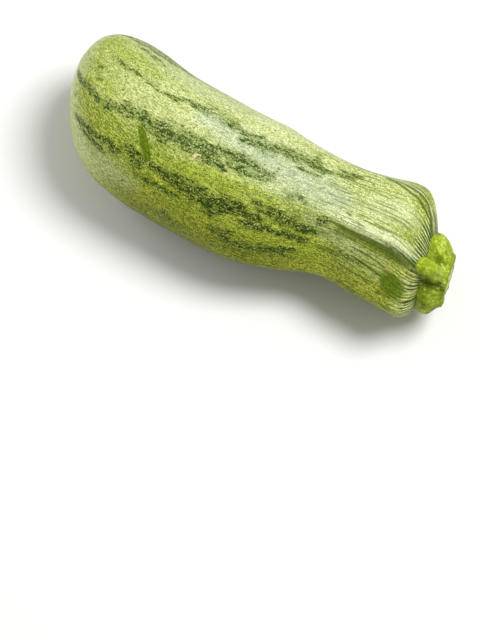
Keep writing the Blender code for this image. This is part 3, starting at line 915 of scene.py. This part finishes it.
wrinkle = noise(rind_place, 400.0, 3.0, 0.6) - 0.5
crumple = blend(lobe(angle, math.radians(66.0), math.radians(16.0)), 0.75, 1.5)
on_side = ease(side_share, 0.0, 0.15)
radius = radius + on_side * size["Wrinkle height"] * wrinkle * crumple
rim = ease(side_share, 0.6, 1.0)
strand_height = size["Strand height"] * (1.0 + 0.4 * furrow) * (1.0 - 0.6 * rim)
radius = radius + on_side * strand_height * strand
bump_turn = RIM_BUMPS * angle + 6.0 * noise(vector(shape, cosine(angle), sine(angle), 0.0), 2.0)
radius = radius + size["Rim bump"] * cosine(bump_turn) * rim
rim_wave = noise(vector(shape, cosine(angle), sine(angle), 0.0), 2.2, 2.0) - 0.5
height = height + size["Rim wave"] * rim_wave * rim * (1.0 - cut_share)
radius = radius * (1.0 - cut_share)
wall = stem_point(size, height, radius, angle)
x, y, z = mix_points(ease(polar, FOOT_END - 0.005, FOOT_END + 0.02), foot, wall)
ball = keep(ball, "place", "FLOAT_VECTOR", vector(shape, cosine(angle), sine(angle), polar))
ball = keep(ball, "fullness", "FLOAT", fullness - 0.5 * furrow)

# The rind is mottled, with pale patches that are partly painted highlights and painted shade
# in the hollows and on its low side, and the cut face has a ring of darker bundles
stem_rind, paint, cos_angle, sin_angle, polar, angle, surface = start_material("stem_rind")
fullness = painted(paint, "fullness")["Fac"]
grain = noise(surface, 1300.0, 2.0, 0.6)
patch = noise(surface, 330.0, 3.0, 0.55)
strand = noise(vector(paint, cos_angle, sin_angle, 0.5 * polar), 9.0, 3.0, 0.6)
rind = tint(ease(fullness + 1.6 * (patch - 0.5), -0.9, 0.8), ink(60, 80, 0), ink(150, 171, 34))
rind = tint(0.6 * ease(patch + 0.6 * (grain - 0.5), 0.50, 0.68), rind, ink(188, 203, 92))
rind = tint(0.55 * ease(strand, 0.52, 0.66), rind, ink(80, 102, 0))
mottle = blend(ease(0.6 * grain + 0.4 * patch, 0.42, 0.58), 0.80, 1.13)
rind = paint.node(
    "ShaderNodeVectorMath", {"operation": "SCALE"}, {"Vector": rind, "Scale": mottle})
# Painted shade on the stem's low side
low_side = lobe(angle, math.radians(160.0), math.radians(24.0))
rind = tint(0.5 * low_side, rind, ink(96, 116, 2))
middle = (polar - ROUND_END) / (1.0 - ROUND_END)
bundle = ease(cosine(10.0 * angle), 0.45, 0.9) * bell(middle, 0.42, 0.09)
flesh = tint(ease(noise(surface, 500.0, 3.0), 0.4, 0.6), ink(158, 172, 78), ink(188, 197, 112))
flesh = tint(bundle, flesh, ink(122, 140, 48))
flesh = tint(bell(middle, 0.0, 0.14), flesh, ink(136, 144, 44))
flesh = tint(ease(-middle, -0.25, -0.05), flesh, ink(112, 128, 30))
rind = tint(ease(polar, SIDE_END + 0.045, SIDE_END + 0.065), rind, flesh)
relief = paint.node("ShaderNodeBump", sockets={
    "Strength": 0.6, "Distance": 0.0005,
    "Height": 0.5 * grain + 0.8 * patch + 0.7 * strand - 0.5 * bundle})
gloss = paint.node(
    "ShaderNodeBsdfPrincipled", {"subsurface_method": "RANDOM_WALK"},
    {"Base Color": rind, "Roughness": 0.42, "Normal": relief["Normal"],
     "Specular IOR Level": 0.12, "Subsurface Weight": 0.1, "Subsurface Radius": (0.9, 1.0, 0.3),
     "Subsurface Scale": 0.002})
paint.node("ShaderNodeOutputMaterial", sockets={"Surface": gloss})

end_shape(ball, "rind_at", vector(shape, x, y, z), stem_rind)
stem = grow("zucchini_stem", shape, stem_sizes)
for vert in stem.data.vertices:
    vert.co += shift
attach(stem, "root")
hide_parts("stem")


# The sweep is a plain white sheet of board under the fruit, wide enough to fill every view.
sweep_board = bpy.data.materials.new("sweep_board")
sweep_board.use_nodes = True
board = sweep_board.node_tree.nodes["Principled BSDF"]
board.inputs["Base Color"].default_value = (0.80, 0.80, 0.79, 1.0)
board.inputs["Roughness"].default_value = 0.9
board.inputs["Specular IOR Level"].default_value = 0.1
bpy.ops.mesh.primitive_plane_add(size=6.0)
sweep = bpy.context.object
sweep.name = "sweep"
sweep.data.materials.append(sweep_board)
sweep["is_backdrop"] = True


# Two large soft lamps and a pale room give the soft light of a light tent.
LAMPS_TARGET = Vector((0.0, 0.0, 0.02))


def hang_lamp(name, place, width, watts):
    """A round area lamp that is turned towards the fruit."""
    lamp = bpy.data.lights.new(name, "AREA")
    lamp.shape = "DISK"
    lamp.size = width
    lamp.energy = watts
    stand = bpy.data.objects.new(name, lamp)
    stand.location = place
    stand.rotation_euler = (Vector(place) - LAMPS_TARGET).to_track_quat("Z", "Y").to_euler()
    bpy.context.scene.collection.objects.link(stand)


hang_lamp("key_lamp", (0.42, 0.32, 1.08), width=0.55, watts=13.8)
hang_lamp("fill_lamp", (-1.3, 0.0, 0.55), width=1.0, watts=7.2)
room = bpy.data.worlds.new("pale_room")
room.use_nodes = True
room.node_tree.nodes["Background"].inputs["Color"].default_value = (1.0, 1.0, 1.0, 1.0)
room.node_tree.nodes["Background"].inputs["Strength"].default_value = 0.42
bpy.context.scene.world = room
bpy.context.scene.view_settings.view_transform = "Standard"


# The camera looks down on the fruit from its lower side, from about a metre away.
CAMERA_AZIMUTH, CAMERA_ELEVATION = math.radians(31.57), math.radians(67.97)
CAMERA_DISTANCE = 0.95
METRES_PER_PIXEL = 0.0003702
PHOTO_WIDTH, PHOTO_HEIGHT = 480, 640
MIDDLE_AT_X, MIDDLE_AT_Y = 239.2, 185.0
back = Vector((math.sin(CAMERA_AZIMUTH) * math.cos(CAMERA_ELEVATION),
               -math.cos(CAMERA_AZIMUTH) * math.cos(CAMERA_ELEVATION),
               math.sin(CAMERA_ELEVATION)))
right = Vector((math.cos(CAMERA_AZIMUTH), math.sin(CAMERA_AZIMUTH), 0.0))
up = back.cross(right)
middle = Vector((FRUIT_SIZES["Fruit length"] / 2.0, 0.0, 0.027)) + shift
target = middle + right * (PHOTO_WIDTH / 2 - MIDDLE_AT_X) * METRES_PER_PIXEL
target -= up * (PHOTO_HEIGHT / 2 - MIDDLE_AT_Y) * METRES_PER_PIXEL
lens = bpy.data.cameras.new("camera")
lens.sensor_width = 36.0
lens.lens = lens.sensor_width * (CAMERA_DISTANCE / METRES_PER_PIXEL) / PHOTO_HEIGHT
camera = bpy.data.objects.new("camera", lens)
camera.location = target + back * CAMERA_DISTANCE
camera.rotation_euler = (camera.location - target).to_track_quat("Z", "Y").to_euler()
bpy.context.scene.collection.objects.link(camera)
bpy.context.scene.camera = camera

low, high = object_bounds()
